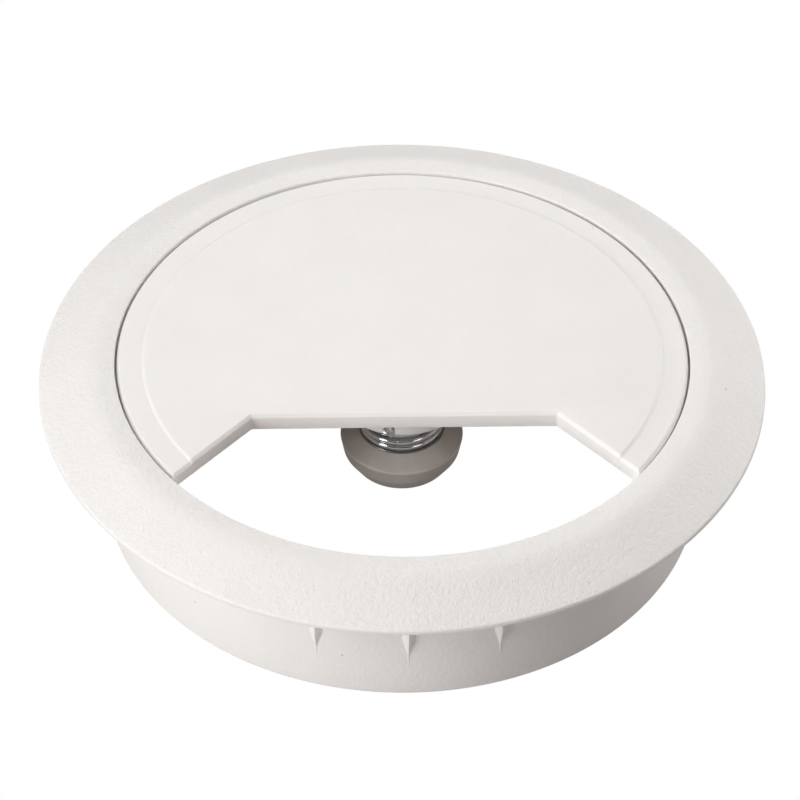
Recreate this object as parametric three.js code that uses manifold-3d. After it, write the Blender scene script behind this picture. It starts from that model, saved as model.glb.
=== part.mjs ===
// Desk grommet for an 80 mm hole: a flanged liner, a flush cover with a cable cut-out, and
// the sprung centre pivot that draws the cover down yet lets it lift and turn.
// Units are millimetres, +Z is up. The origin is on the pivot axis, level with the sleeve's
// bottom edge. The cut-out faces -Y.
import * as THREE from "three";
import { mergeVertices } from "three/addons/utils/BufferGeometryUtils.js";
import Module from "manifold-3d";

const wasm = await Module();
wasm.setup();

const DEG = Math.PI / 180;
const TURN = 2 * Math.PI;
const ROUND_STEPS = 84; // facets round the large turned parts, a whole number between ribs
const SMALL_STEPS = 48; // facets round the centre parts

// Liner: a sleeve in the desk hole and a flange on the desk.
const SEAT_Z = 18.8; // desk surface, where the flange's lip rests
const SLEEVE_R = 39.5;
const SLEEVE_BORE_R = 37.9;
const SLEEVE_CHAMFER = 0.35;
const BORDER_Z = SEAT_Z + 3.8; // flat top of the flange, level with the cover's border
const CROWN_R = 39.8; // the flat top ends here and rolls over
const SLOPE = 0.46; // fall of the flange's outer face per millimetre outwards
const SLOPE_START_R = 42.3;
const LIP_ROUND = 0.42; // radius of the flange's rounded edge
const LIP_CENTRE_R = 47.08;
const LAND_R = 45.6; // inner edge of the flat land under the lip
const FLANGE_ROOT_Z = SEAT_Z + 2; // flange underside where it meets the sleeve
const MOUTH_R = 37.55; // bore round the cover
const MOUTH_CHAMFER = 0.15;
const LEDGE_R = 36.3; // inner edge of the ledge below the cover
const LEDGE_TOP_Z = BORDER_Z - 2.1;
const LEDGE_BOTTOM_Z = SEAT_Z + 0.25;

// Crush ribs: four groups of three round the sleeve, tapering to a point.
const RIB_GROUPS = 4;
const RIB_STEP = TURN / 21;
const RIB_TOP_Z = SEAT_Z + 1;
const RIB_HEIGHT = 0.6;
const RIB_HALF_WIDTH = 0.85;
const RIB_TAPER_Z = SEAT_Z - 7.4;
const RIB_POINT_Z = SEAT_Z - 12;

// Crossbar: two cored arms and a hub, held under the ledge between guide ribs.
const BAR_TOP_Z = SEAT_Z + 0.2;
const BAR_HALF_WIDTH = 3.5;
const BAR_BOTTOM_Z = SEAT_Z - 4.3;
const BAR_END_R = 37.6;
const BAR_START_X = 6.8; // the arms stop short of the spring
const BAR_WEB = 1.5; // thickness left above the coring
const BAR_WALL = 1.4;
const CORE_X = [11.5, 35.5];
const HUB_R = 9.5;
const HUB_BOTTOM_Z = SEAT_Z - 1.95;
const COLLAR_R = 4.3; // spring locating collar under the hub
const COLLAR_BOTTOM_Z = HUB_BOTTOM_Z - 1.2;
const HUB_BORE_R = 3.08;
const GUIDE_GAP = 0.15; // play between an arm's end and each guide rib
const GUIDE_THICKNESS = 1.4;
const GUIDE_R = 36.2; // inner face of the guide ribs
const GUIDE_BOTTOM_Z = SEAT_Z - 6;
const CATCH_R = 37.1; // inner edge of the snap catch below each arm
const CATCH_TOP_Z = BAR_BOTTOM_Z - 0.15;
const CATCH_BOTTOM_Z = CATCH_TOP_Z - 2.5;
const CATCH_HALF_WIDTH = 2;
const WALL_BITE = 0.5; // how far ribs and catches sink into the wall that carries them

// Cover: a plate with a raised centre, stiffening ribs, a boss and the pivot post.
const COVER_R = 37.25;
const COVER_BOTTOM_Z = BORDER_Z - 2.05;
const COVER_CHAMFER = 0.4; // round the rim and along the cut-out
const RAISED_R = 34.1; // foot of the gentle step up to the raised centre
const RAISED_SLOPE = 0.55; // the step's width
const RAISED_STEP = 0.28; // the step's height
const COVER_RIB_Z = COVER_BOTTOM_Z - 1;
const COVER_RIB_R = [32.4, 33.8];
const COVER_RIB_WIDTH = 1.2;
const COVER_RIB_ANGLES = [0, 45, 90, 135, 180];
const BOSS_R = 7;
const BOSS_BOTTOM_Z = COVER_BOTTOM_Z - 1.2;
const POST_R = 3;
const POST_BOTTOM_Z = SEAT_Z - 11;
const PILOT_R = 1.5;
const PILOT_TOP_Z = SEAT_Z - 4;
const CUT_BACK_Y = -12; // straight back edge of the cut-out
const CUT_BACK_HALF = 19.6;
const CUT_FRONT_Y = -23; // where the slanted edges leave the cover
const CUT_FRONT_HALF = 29.6;
const RIB_CLEARANCE = 3; // underside ribs stay this far from the cut-out
const ROOT_BITE = 0.5; // how far ribs, boss and post sink into the plate that carries them
const CUT_OVERSHOOT = 1; // how far cutting tools pass the faces they open

// Spring, washer, knob and screw, from the hub downwards.
const WIRE_R = 0.375;
const COIL_R = 5.175; // to the wire's centre
const WASHER_TOP_Z = SEAT_Z - 8.78;
const WASHER_THICKNESS = 0.35;
const WASHER_BORE_R = 3.2;
const WASHER_R = 5.5;
const CONTACT_GAP = 0.02; // left between pieces that touch
const FIT_GAP = 0.06; // left round the post and the screw inside the knob
const CLOSED_PITCH = 0.8; // of the one closed turn at each end
const COIL_START = 150 * DEG;
const COIL_TURNS = 5.28;
const WIRE_SAMPLES_PER_TURN = 24;
const WIRE_STEPS = 200; // facets along the wire
const TANG_ANGLE = -100 * DEG; // the spring's top end hooks up the hub here
const TANG_LEAN = 3.5 * DEG; // how far the hook leans over on its way up
const TANG_R = 9.4;
const TANG_BEND = 0.9; // radius of the bend into the hook
const BEND_MIDDLE = 0.2; // the bend's middle point, as a share of that radius
const TANG_TOP_Z = SEAT_Z - 0.5;
const LEG_LEAD = 0.6; // the leg turns outwards over these two distances
const LEG_START = 1.6;
const LEG_LEAD_ANGLE = 1 * DEG; // at the first of them it still trails the tang by this much
const NOTCH_HALF_WIDTH = 0.75;
const NOTCH_R = 8.9;

const KNOB_TOP_Z = WASHER_TOP_Z + 0.03;
const KNOB_TOP_R = 5.8;
const WASHER_RECESS_R = WASHER_R + 0.12; // the washer lies flush in the knob's top
const WASHER_RECESS_Z = WASHER_TOP_Z - WASHER_THICKNESS - CONTACT_GAP;
const KNOB_RIM_R = 8.15;
const KNOB_RIM_Z = SEAT_Z - 10;
const KNOB_RIM_CHAMFER = 0.15;
const KNOB_SIDE = [
  // inset from the rim, drop from the rim
  [0, 0.2],
  [0.12, 1.5],
  [0.4, 2.3],
];
const KNOB_BOTTOM_R = 6.3;
const KNOB_BOTTOM_Z = SEAT_Z - 14.5;
const KNOB_FOOT_CHAMFER = [0.3, 0.15];
const SOCKET_FLOOR_Z = POST_BOTTOM_Z - 0.05;
const RECESS_R = 3.6;
const RECESS_TOP_Z = SEAT_Z - 12.6;
const SCREW_R = 1.42;
const SCREW_TOP_Z = SEAT_Z - 4.6;
const SCREW_TIP_R = 0.2;
const SCREW_TIP_LENGTH = 1.2;
const SCREW_HEAD_R = 2.5;
const SCREW_HEAD_HEIGHT = 1.2;
const SCREW_HEAD_CHAMFER = 0.6;
const SLOT_HALF_LENGTH = 1.3;
const SLOT_HALF_WIDTH = 0.25;
const SLOT_DEPTH = 0.8;
const SCREW_WASHER_R = 3.2;
const SCREW_WASHER_THICKNESS = 0.45;

// ---- solids ----

function solidFrom(geometry) {
  const plain = geometry.index ? geometry.toNonIndexed() : geometry.clone();
  plain.deleteAttribute("normal");
  plain.deleteAttribute("uv");
  const merged = mergeVertices(plain, 1e-4);
  const triangles = [];
  const index = merged.index.array;
  for (let i = 0; i < index.length; i += 3) {
    const [a, b, c] = [index[i], index[i + 1], index[i + 2]];
    if (a !== b && b !== c && a !== c) triangles.push(a, b, c);
  }
  return new wasm.Manifold(
    new wasm.Mesh({
      numProp: 3,
      vertProperties: merged.attributes.position.array,
      triVerts: new Uint32Array(triangles),
    }),
  );
}

function pieceFrom(name, solid, material) {
  const mesh = solid.getMesh();
  const geometry = new THREE.BufferGeometry();
  const positions = new THREE.BufferAttribute(mesh.vertProperties, 3);
  geometry.setAttribute("position", positions);
  geometry.setIndex(new THREE.BufferAttribute(mesh.triVerts, 1));
  geometry.computeVertexNormals();
  const piece = new THREE.Mesh(geometry, material);
  piece.name = name;
  return piece;
}

// A solid of revolution about Z from a closed outline of [radius, height] points.
function turned(outline, steps) {
  const points = outline.map(([r, z]) => new THREE.Vector2(r, z));
  const area = THREE.ShapeUtils.area(points);
  if (area < 0) points.reverse();
  points.push(points[0].clone());
  return solidFrom(new THREE.LatheGeometry(points, steps).rotateX(Math.PI / 2));
}

// A plain disc or tube between two heights.
function tube(innerR, outerR, lowZ, highZ, steps) {
  const outline = [
    [innerR, lowZ],
    [outerR, lowZ],
    [outerR, highZ],
    [innerR, highZ],
  ];
  return turned(outline, steps);
}

function block([x0, x1], [y0, y1], [z0, z1]) {
  const box = new THREE.BoxGeometry(x1 - x0, y1 - y0, z1 - z0);
  return solidFrom(box.translate((x0 + x1) / 2, (y0 + y1) / 2, (z0 + z1) / 2));
}

// A polygon in the plane of X and Y, carried up from one height to another.
function prism(corners, lowZ, highZ) {
  const shape = new THREE.Shape(corners.map(([x, y]) => new THREE.Vector2(x, y)));
  const settings = { depth: highZ - lowZ, bevelEnabled: false };
  const body = new THREE.ExtrudeGeometry(shape, settings);
  return solidFrom(body.translate(0, 0, lowZ));
}

function turnedAbout(solid, angle) {
  return solid.rotate([0, 0, angle / DEG]);
}

function bezier(start, control, end, count) {
  const [a, b, c] = [start, control, end].map(([x, y]) => new THREE.Vector2(x, y));
  const curve = new THREE.QuadraticBezierCurve(a, b, c);
  return curve.getPoints(count).map((p) => [p.x, p.y]);
}

function arc(centreR, centreZ, radius, from, to, count) {
  const curve = new THREE.ArcCurve(centreR, centreZ, radius, from, to, false);
  return curve.getPoints(count).map((p) => [p.x, p.y]);
}

// ---- liner ----

function flangeOutline() {
  const slopeAngle = Math.atan(SLOPE);
  const lipZ = SEAT_Z + LIP_ROUND;
  const lip = arc(LIP_CENTRE_R, lipZ, LIP_ROUND, -Math.PI / 2, Math.PI / 2 - slopeAngle, 6);
  const [edgeR, edgeZ] = lip[lip.length - 1];
  const slopeZ = edgeZ + SLOPE * (edgeR - SLOPE_START_R);
  const crestR = edgeR - (BORDER_Z - edgeZ) / SLOPE;
  const crown = bezier([SLOPE_START_R, slopeZ], [crestR, BORDER_Z], [CROWN_R, BORDER_Z], 5);
  return [[SLEEVE_R, FLANGE_ROOT_Z], [LAND_R, SEAT_Z], ...lip, ...crown];
}

function linerShell() {
  const outline = [
    [SLEEVE_BORE_R + SLEEVE_CHAMFER, 0],
    [SLEEVE_R - SLEEVE_CHAMFER, 0],
    [SLEEVE_R, SLEEVE_CHAMFER],
    ...flangeOutline(),
    [MOUTH_R + MOUTH_CHAMFER, BORDER_Z],
    [MOUTH_R, BORDER_Z - MOUTH_CHAMFER],
    [MOUTH_R, LEDGE_TOP_Z],
    [LEDGE_R, LEDGE_TOP_Z],
    [LEDGE_R, LEDGE_BOTTOM_Z],
    [SLEEVE_BORE_R, LEDGE_BOTTOM_Z],
    [SLEEVE_BORE_R, SLEEVE_CHAMFER],
  ];
  return turned(outline, ROUND_STEPS);
}

// A diamond bar sunk half into the sleeve, with a point at its lower end.
function crushRib(angle) {
  const barHeight = RIB_TOP_Z - RIB_TAPER_Z;
  const pointHeight = RIB_TAPER_Z - RIB_POINT_Z;
  const bar = new THREE.CylinderGeometry(1, 1, barHeight, 4).rotateX(Math.PI / 2);
  const point = new THREE.ConeGeometry(1, pointHeight, 4).rotateX(-Math.PI / 2);
  bar.translate(0, 0, RIB_TAPER_Z + barHeight / 2);
  point.translate(0, 0, RIB_TAPER_Z - pointHeight / 2);
  for (const form of [bar, point]) {
    form.scale(RIB_HEIGHT, RIB_HALF_WIDTH, 1).translate(SLEEVE_R, 0, 0);
  }
  return turnedAbout(solidFrom(bar).add(solidFrom(point)), angle);
}

function ribAngles() {
  const angles = [];
  for (let group = 0; group < RIB_GROUPS; group++) {
    for (const place of [-1, 0, 1]) angles.push((group * TURN) / RIB_GROUPS + place * RIB_STEP);
  }
  return angles;
}

// The two guide ribs and the snap catch that hold one end of the crossbar.
function crossbarPocket(angle) {
  const inner = BAR_HALF_WIDTH + GUIDE_GAP;
  const outer = inner + GUIDE_THICKNESS;
  const reach = [GUIDE_R, SLEEVE_BORE_R + WALL_BITE];
  const height = [GUIDE_BOTTOM_Z, LEDGE_BOTTOM_Z + WALL_BITE];
  const left = block(reach, [inner, outer], height);
  const right = block(reach, [-outer, -inner], height);
  const side = [
    [SLEEVE_BORE_R + WALL_BITE, CATCH_TOP_Z],
    [CATCH_R, CATCH_TOP_Z],
    [CATCH_R, CATCH_TOP_Z - WALL_BITE],
    [SLEEVE_BORE_R + WALL_BITE, CATCH_BOTTOM_Z],
  ];
  const catchWedge = prism(side, -CATCH_HALF_WIDTH, CATCH_HALF_WIDTH).rotate([90, 0, 0]);
  return turnedAbout(left.add(right).add(catchWedge), angle);
}

function linerSolid() {
  let liner = linerShell();
  for (const angle of ribAngles()) liner = liner.add(crushRib(angle));
  for (const angle of [0, Math.PI]) liner = liner.add(crossbarPocket(angle));
  return liner;
}

// ---- crossbar ----

function crossbarArm(side) {
  const span = [BAR_START_X * side, (BAR_END_R + CUT_OVERSHOOT) * side].sort((a, b) => a - b);
  const core = CORE_X.map((x) => x * side).sort((a, b) => a - b);
  const coreHalf = BAR_HALF_WIDTH - BAR_WALL;
  const arm = block(span, [-BAR_HALF_WIDTH, BAR_HALF_WIDTH], [BAR_BOTTOM_Z, BAR_TOP_Z]);
  const coreHeight = [BAR_BOTTOM_Z - CUT_OVERSHOOT, BAR_TOP_Z - BAR_WEB];
  const hollow = block(core, [-coreHalf, coreHalf], coreHeight);
  return arm.subtract(hollow);
}

function crossbarSolid() {
  const hub = tube(0, HUB_R, HUB_BOTTOM_Z, BAR_TOP_Z, ROUND_STEPS);
  const collar = tube(0, COLLAR_R, COLLAR_BOTTOM_Z, BAR_TOP_Z, SMALL_STEPS);
  const arms = crossbarArm(1).add(crossbarArm(-1));
  const height = [BAR_BOTTOM_Z - CUT_OVERSHOOT, BAR_TOP_Z + CUT_OVERSHOOT];
  const reach = tube(0, BAR_END_R, ...height, ROUND_STEPS);
  const bore = tube(0, HUB_BORE_R, ...height, SMALL_STEPS);
  const notchSide = [-NOTCH_HALF_WIDTH, NOTCH_HALF_WIDTH];
  const notch = block([NOTCH_R, HUB_R + CUT_OVERSHOOT], notchSide, height);
  const bar = arms.intersect(reach).add(hub).add(collar);
  return bar.subtract(bore).subtract(turnedAbout(notch, TANG_ANGLE - TANG_LEAN / 2));
}

// ---- cover ----

function cutOutCorners(clearance) {
  const lean = (CUT_FRONT_HALF - CUT_BACK_HALF) / (CUT_BACK_Y - CUT_FRONT_Y);
  const frontY = -COVER_R - CUT_OVERSHOOT;
  const backY = CUT_BACK_Y + clearance;
  const edgeShift = clearance * Math.hypot(1, lean);
  const halfAt = (y) => CUT_BACK_HALF + lean * (CUT_BACK_Y - y) + edgeShift;
  return [
    [-halfAt(frontY), frontY],
    [halfAt(frontY), frontY],
    [halfAt(backY), backY],
    [-halfAt(backY), backY],
  ];
}

function coverDisc() {
  const raisedZ = BORDER_Z + RAISED_STEP;
  const outline = [
    [0, COVER_BOTTOM_Z],
    [COVER_R, COVER_BOTTOM_Z],
    [COVER_R, BORDER_Z - COVER_CHAMFER],
    [COVER_R - COVER_CHAMFER, BORDER_Z],
    [RAISED_R, BORDER_Z],
    [RAISED_R - RAISED_SLOPE, raisedZ],
    [0, raisedZ],
  ];
  return turned(outline, ROUND_STEPS);
}

// The cut-out's chamfer: a block that widens upwards at 45 degrees from inside the cut-out.
function cutOutBevel() {
  const level = (rise) => {
    const z = BORDER_Z - COVER_CHAMFER + rise;
    return cutOutCorners(rise).map(([x, y]) => [x, y, z]);
  };
  return wasm.Manifold.hull([...level(-COVER_CHAMFER), ...level(CUT_OVERSHOOT)]);
}

function coverRibs() {
  const height = [COVER_RIB_Z, COVER_BOTTOM_Z + ROOT_BITE];
  let ribs = tube(COVER_RIB_R[0], COVER_RIB_R[1], height[0], height[1], ROUND_STEPS);
  const half = COVER_RIB_WIDTH / 2;
  for (const angle of COVER_RIB_ANGLES) {
    const rib = block([POST_R, COVER_RIB_R[0] + half], [-half, half], height);
    ribs = ribs.add(turnedAbout(rib, angle * DEG));
  }
  const bounds = [COVER_RIB_Z - CUT_OVERSHOOT, COVER_BOTTOM_Z + CUT_OVERSHOOT];
  return ribs.subtract(prism(cutOutCorners(RIB_CLEARANCE), ...bounds));
}

function coverSolid() {
  const rootZ = COVER_BOTTOM_Z + ROOT_BITE;
  const cutHeight = [COVER_RIB_Z - CUT_OVERSHOOT, BORDER_Z + CUT_OVERSHOOT];
  const boss = tube(0, BOSS_R, BOSS_BOTTOM_Z, rootZ, SMALL_STEPS);
  const post = tube(0, POST_R, POST_BOTTOM_Z, rootZ, SMALL_STEPS);
  const pilot = tube(0, PILOT_R, POST_BOTTOM_Z - CUT_OVERSHOOT, PILOT_TOP_Z, SMALL_STEPS);
  const cutOut = prism(cutOutCorners(0), ...cutHeight).add(cutOutBevel());
  const plate = coverDisc().subtract(cutOut);
  return plate.add(coverRibs()).add(boss).add(post).subtract(pilot);
}

// ---- spring ----

function coilHeight(turn) {
  const bottom = WASHER_TOP_Z + CONTACT_GAP + WIRE_R;
  const top = HUB_BOTTOM_Z - CONTACT_GAP - WIRE_R;
  const openTurns = COIL_TURNS - 2;
  const openPitch = (top - bottom - 2 * CLOSED_PITCH) / openTurns;
  const closed = Math.min(turn, 1) + Math.max(turn - 1 - openTurns, 0);
  const open = Math.min(Math.max(turn - 1, 0), openTurns);
  return bottom + closed * CLOSED_PITCH + open * openPitch;
}

// The wire's centre line: the coil, then a leg out under the hub and a tang up its side.
function springPath() {
  const places = [];
  const at = (r, angle, z) =>
    places.push(new THREE.Vector3(r * Math.cos(angle), r * Math.sin(angle), z));
  const samples = Math.round(COIL_TURNS * WIRE_SAMPLES_PER_TURN);
  for (let i = 0; i <= samples; i++) {
    const turn = (COIL_TURNS * i) / samples;
    at(COIL_R, COIL_START + turn * TURN, coilHeight(turn));
  }
  const legZ = HUB_BOTTOM_Z - CONTACT_GAP - WIRE_R;
  at(COIL_R + LEG_LEAD, TANG_ANGLE - LEG_LEAD_ANGLE, legZ);
  at(COIL_R + LEG_START, TANG_ANGLE, legZ);
  at(TANG_R - TANG_BEND, TANG_ANGLE, legZ);
  at(TANG_R - TANG_BEND * BEND_MIDDLE, TANG_ANGLE, legZ + TANG_BEND * BEND_MIDDLE);
  at(TANG_R, TANG_ANGLE, legZ + TANG_BEND);
  at(TANG_R, TANG_ANGLE - TANG_LEAN, TANG_TOP_Z);
  return new THREE.CatmullRomCurve3(places, false, "centripetal");
}

function springSolid() {
  const section = new THREE.Shape();
  section.absarc(0, 0, WIRE_R, 0, TURN, false);
  const settings = { steps: WIRE_STEPS, curveSegments: 5, extrudePath: springPath() };
  return solidFrom(new THREE.ExtrudeGeometry(section, settings));
}

// ---- knob and fixings ----

function knobSolid() {
  const socketR = POST_R + FIT_GAP;
  const [footInset, footRise] = KNOB_FOOT_CHAMFER;
  const side = KNOB_SIDE.map(([inset, drop]) => [KNOB_RIM_R - inset, KNOB_RIM_Z - drop]);
  const outline = [
    [socketR, WASHER_RECESS_Z],
    [socketR, SOCKET_FLOOR_Z],
    [SCREW_R + FIT_GAP, SOCKET_FLOOR_Z],
    [SCREW_R + FIT_GAP, RECESS_TOP_Z],
    [RECESS_R, RECESS_TOP_Z],
    [RECESS_R, KNOB_BOTTOM_Z],
    [KNOB_BOTTOM_R - footInset, KNOB_BOTTOM_Z],
    [KNOB_BOTTOM_R, KNOB_BOTTOM_Z + footRise],
    ...side.reverse(),
    [KNOB_RIM_R - KNOB_RIM_CHAMFER, KNOB_RIM_Z],
    [KNOB_TOP_R, KNOB_TOP_Z],
    [WASHER_RECESS_R, KNOB_TOP_Z],
    [WASHER_RECESS_R, WASHER_RECESS_Z],
  ];
  return turned(outline, SMALL_STEPS);
}

function thrustWasherSolid() {
  const bottomZ = WASHER_TOP_Z - WASHER_THICKNESS;
  return tube(WASHER_BORE_R, WASHER_R, bottomZ, WASHER_TOP_Z, SMALL_STEPS);
}

function screwWasherSolid() {
  const topZ = RECESS_TOP_Z - CONTACT_GAP;
  const bottomZ = topZ - SCREW_WASHER_THICKNESS;
  return tube(SCREW_R + FIT_GAP, SCREW_WASHER_R, bottomZ, topZ, SMALL_STEPS);
}

// Pan-head screw with a cross recess.
function screwSolid() {
  const seatZ = RECESS_TOP_Z - SCREW_WASHER_THICKNESS - 2 * CONTACT_GAP;
  const faceZ = seatZ - SCREW_HEAD_HEIGHT;
  const outline = [
    [0, faceZ],
    [SCREW_HEAD_R - SCREW_HEAD_CHAMFER, faceZ],
    [SCREW_HEAD_R, faceZ + SCREW_HEAD_CHAMFER],
    [SCREW_HEAD_R, seatZ],
    [SCREW_R, seatZ],
    [SCREW_R, SCREW_TOP_Z - SCREW_TIP_LENGTH],
    [SCREW_TIP_R, SCREW_TOP_Z],
    [0, SCREW_TOP_Z],
  ];
  const slot = block(
    [-SLOT_HALF_LENGTH, SLOT_HALF_LENGTH],
    [-SLOT_HALF_WIDTH, SLOT_HALF_WIDTH],
    [faceZ - CUT_OVERSHOOT, faceZ + SLOT_DEPTH],
  );
  const cross = slot.add(turnedAbout(slot, Math.PI / 2));
  return turned(outline, SMALL_STEPS).subtract(cross);
}

// ---- assembly ----

function material(color, roughness, metalness) {
  return new THREE.MeshStandardMaterial({ color, roughness, metalness });
}

const whitePlastic = material(0xecebe8, 0.6, 0);
const greyPlastic = material(0x8a8681, 0.5, 0);
const chromedWire = material(0xc9ccd0, 0.15, 1);
const zincSteel = material(0xa6a9ac, 0.33, 1);

const grommet = new THREE.Group();
grommet.name = "desk_grommet";
grommet.add(
  pieceFrom("liner_ring", linerSolid(), whitePlastic),
  pieceFrom("crossbar", crossbarSolid(), whitePlastic),
  pieceFrom("spring", springSolid(), chromedWire),
  pieceFrom("thrust_washer", thrustWasherSolid(), zincSteel),
  pieceFrom("cover_plate", coverSolid(), whitePlastic),
  pieceFrom("knob", knobSolid(), greyPlastic),
  pieceFrom("screw_washer", screwWasherSolid(), zincSteel),
  pieceFrom("knob_screw", screwSolid(), zincSteel),
);

export default grommet;
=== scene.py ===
"""Desk grommet for an 80 mm hole: the looks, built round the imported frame.

Lengths in the code are millimetres unless a name says otherwise; a new mesh is scaled to
metres when it is made. +Z is up, the pivot is the Z axis and the cut-out faces -Y.
"""

from math import atan, atan2, cos, hypot, pi, radians, sin, sqrt, tan

import bmesh
import bpy
from mathutils import Matrix, Vector


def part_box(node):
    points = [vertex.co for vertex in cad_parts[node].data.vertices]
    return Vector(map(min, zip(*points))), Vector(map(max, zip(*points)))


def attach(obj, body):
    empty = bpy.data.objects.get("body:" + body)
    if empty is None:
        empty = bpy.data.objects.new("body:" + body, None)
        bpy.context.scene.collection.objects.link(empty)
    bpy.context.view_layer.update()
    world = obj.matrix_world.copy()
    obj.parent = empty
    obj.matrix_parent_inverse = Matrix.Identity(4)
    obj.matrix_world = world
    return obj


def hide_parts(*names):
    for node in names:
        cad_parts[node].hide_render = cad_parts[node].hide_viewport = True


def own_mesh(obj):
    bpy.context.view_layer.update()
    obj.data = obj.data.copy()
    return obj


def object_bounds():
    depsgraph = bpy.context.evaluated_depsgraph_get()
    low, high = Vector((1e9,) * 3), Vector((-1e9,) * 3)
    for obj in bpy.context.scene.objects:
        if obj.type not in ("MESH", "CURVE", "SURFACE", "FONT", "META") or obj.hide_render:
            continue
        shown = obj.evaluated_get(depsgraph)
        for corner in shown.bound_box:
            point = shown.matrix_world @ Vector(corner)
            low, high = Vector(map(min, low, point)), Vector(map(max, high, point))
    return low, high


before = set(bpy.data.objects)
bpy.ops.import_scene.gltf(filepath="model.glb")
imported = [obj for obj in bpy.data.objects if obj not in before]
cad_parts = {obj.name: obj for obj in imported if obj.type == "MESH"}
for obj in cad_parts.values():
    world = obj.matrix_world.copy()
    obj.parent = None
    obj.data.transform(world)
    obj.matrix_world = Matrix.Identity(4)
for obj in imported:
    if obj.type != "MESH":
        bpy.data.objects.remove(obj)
CAD_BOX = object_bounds()

MM = 0.001
SMALLEST_EDGE = 0.0002 * MM  # anything shorter is left over from a cut and is closed up
TURN = 2 * pi


def top(node):
    """A CAD node's highest point, in millimetres."""
    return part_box(node)[1][2] / MM


def low(node):
    """A CAD node's lowest point, in millimetres."""
    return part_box(node)[0][2] / MM


# Heights that everything else hangs on, read from the frame.
BORDER_Z = top("liner_ring")  # flat top of the flange and the cover's border
SEAT_Z = BORDER_Z - 3.8  # desk surface
WASHER_TOP_Z = top("thrust_washer")
KNOB_TOP_Z = top("knob")
KNOB_BOTTOM_Z = low("knob")
POST_BOTTOM_Z = low("cover_plate")

# Liner
SLEEVE_R = 39.5
SLEEVE_BORE_R = 37.9
FLANGE_R = 47.49
CROWN_R = 39.8
SLOPE = 0.46
SLOPE_START_R = 42.3
LIP_TOP_ROUND = 0.32
LIP_TOP_Z = SEAT_Z + 0.46  # the lip's upright face ends here
LIP_UNDER_ROUND = 0.1
LAND_R = 45.6
FLANGE_ROOT_Z = SEAT_Z + 2
MOUTH_R = 37.55
MOUTH_EDGE = 0.15
LEDGE_R = 36.3
LEDGE_TOP_Z = BORDER_Z - 2.1
LEDGE_BOTTOM_Z = SEAT_Z + 0.25
LEDGE_ROUND = 0.2
SLEEVE_FOOT_ROUND = 0.35
COLUMNS = 360  # round the liner
MEDIUM_COLUMNS = 144
SMALL_COLUMNS = 96

# Crush ribs: each is a stout ridge with a fine tail below it.
RIB_GROUPS = 4
RIB_STEP = TURN / 21
RIB_TOP_Z = SEAT_Z + 1
RIB_POINT_Z = SEAT_Z - 14
RIB_FORMS = (
    # height, half width, height where it starts to taper, height of its point
    (0.6, 0.85, SEAT_Z - 9, SEAT_Z - 12),
    (0.12, 0.35, SEAT_Z - 10.5, RIB_POINT_Z),
)
RIDGE_POWER = 1.1  # 1 is a sharp ridge, more is rounder
RIB_SPAN = 0.95  # half the width of the fine columns across a rib
RIB_COLUMNS = 24
RIB_COLUMN_MARGIN = 1.02  # the even columns keep off the fine ones by this share of the span
RIB_ROWS = 30  # rows up the tapering part of a rib
RIB_ROWS_TOP_Z = SEAT_Z - 6
RIB_PLAIN_Z = SEAT_Z - 3
RIB_END_STEP = 0.04  # a rib's top ends within this height

# Crossbar
BAR_TOP_Z = top("crossbar")
BAR_BOTTOM_Z = low("crossbar")
BAR_HALF_WIDTH = 3.5
BAR_END_R = 37.6
BAR_START_X = 6.8
BAR_WEB = 1.5
BAR_WALL = 1.4
CORE_X = (11.5, 35.5)
HUB_R = 9.5
HUB_BOTTOM_Z = SEAT_Z - 1.95
HUB_BORE_R = 3.08
COLLAR_R = 4.3
COLLAR_BOTTOM_Z = HUB_BOTTOM_Z - 1.2
NOTCH_HALF_WIDTH = 0.75
NOTCH_R = 8.9
GUIDE_GAP = 0.15
GUIDE_THICKNESS = 1.4
GUIDE_R = 36.2
GUIDE_BOTTOM_Z = SEAT_Z - 6
CATCH_R = 37.1
CATCH_TOP_Z = BAR_BOTTOM_Z - 0.15
CATCH_HEIGHT = 2.5
CATCH_HALF_WIDTH = 2
WALL_BITE = 0.5  # how far ribs and catches sink into the wall that carries them
BAR_EDGE = 0.2
CORE_EDGE = 0.3
GUIDE_EDGE = 0.12
BAR_END_SETBACK = 0.18  # the flat end stays inside the CAD arm's round one
BAR_TOP_SETBACK = 0.002  # keeps the arms' tops off the hub's, so that the union is clean

# Cover
COVER_R = 37.25
COVER_BOTTOM_Z = BORDER_Z - 2.05
COVER_CHAMFER = 0.4  # round the rim and along the cut-out
COVER_SOFT_EDGE = 0.12  # rounding where the chamfer meets the faces
COVER_LOWER_EDGE = 0.12
RAISED_R = 34.1  # foot of the gentle step up to the raised centre
RAISED_SLOPE = 0.55
RAISED_STEP = top("cover_plate") - BORDER_Z
RAISED_ROWS = 6
COVER_RIB_Z = COVER_BOTTOM_Z - 1
COVER_RIB_R = (32.4, 33.8)
COVER_RIB_HALF = 0.6
COVER_RIB_ANGLES = (0, 45, 90, 135, 180)
COVER_RIB_COLUMNS = 240
COVER_COLUMNS = 300
BOSS_R = 7
BOSS_BOTTOM_Z = COVER_BOTTOM_Z - 1.2
POST_R = 3
PILOT_R = 1.5
PILOT_TOP_Z = SEAT_Z - 4
CUT_BACK_Y = -12
CUT_BACK_HALF = 19.6
CUT_FRONT_Y = -23
CUT_FRONT_HALF = 29.6
CUT_CORNER_R = 0.5
RIB_CLEARANCE = 3  # underside ribs stay this far from the cut-out
ROOT_BITE = 0.5  # how far ribs and post sink into the plate
CUT_OVERSHOOT = 1  # how far cutting tools pass the faces they open

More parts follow.
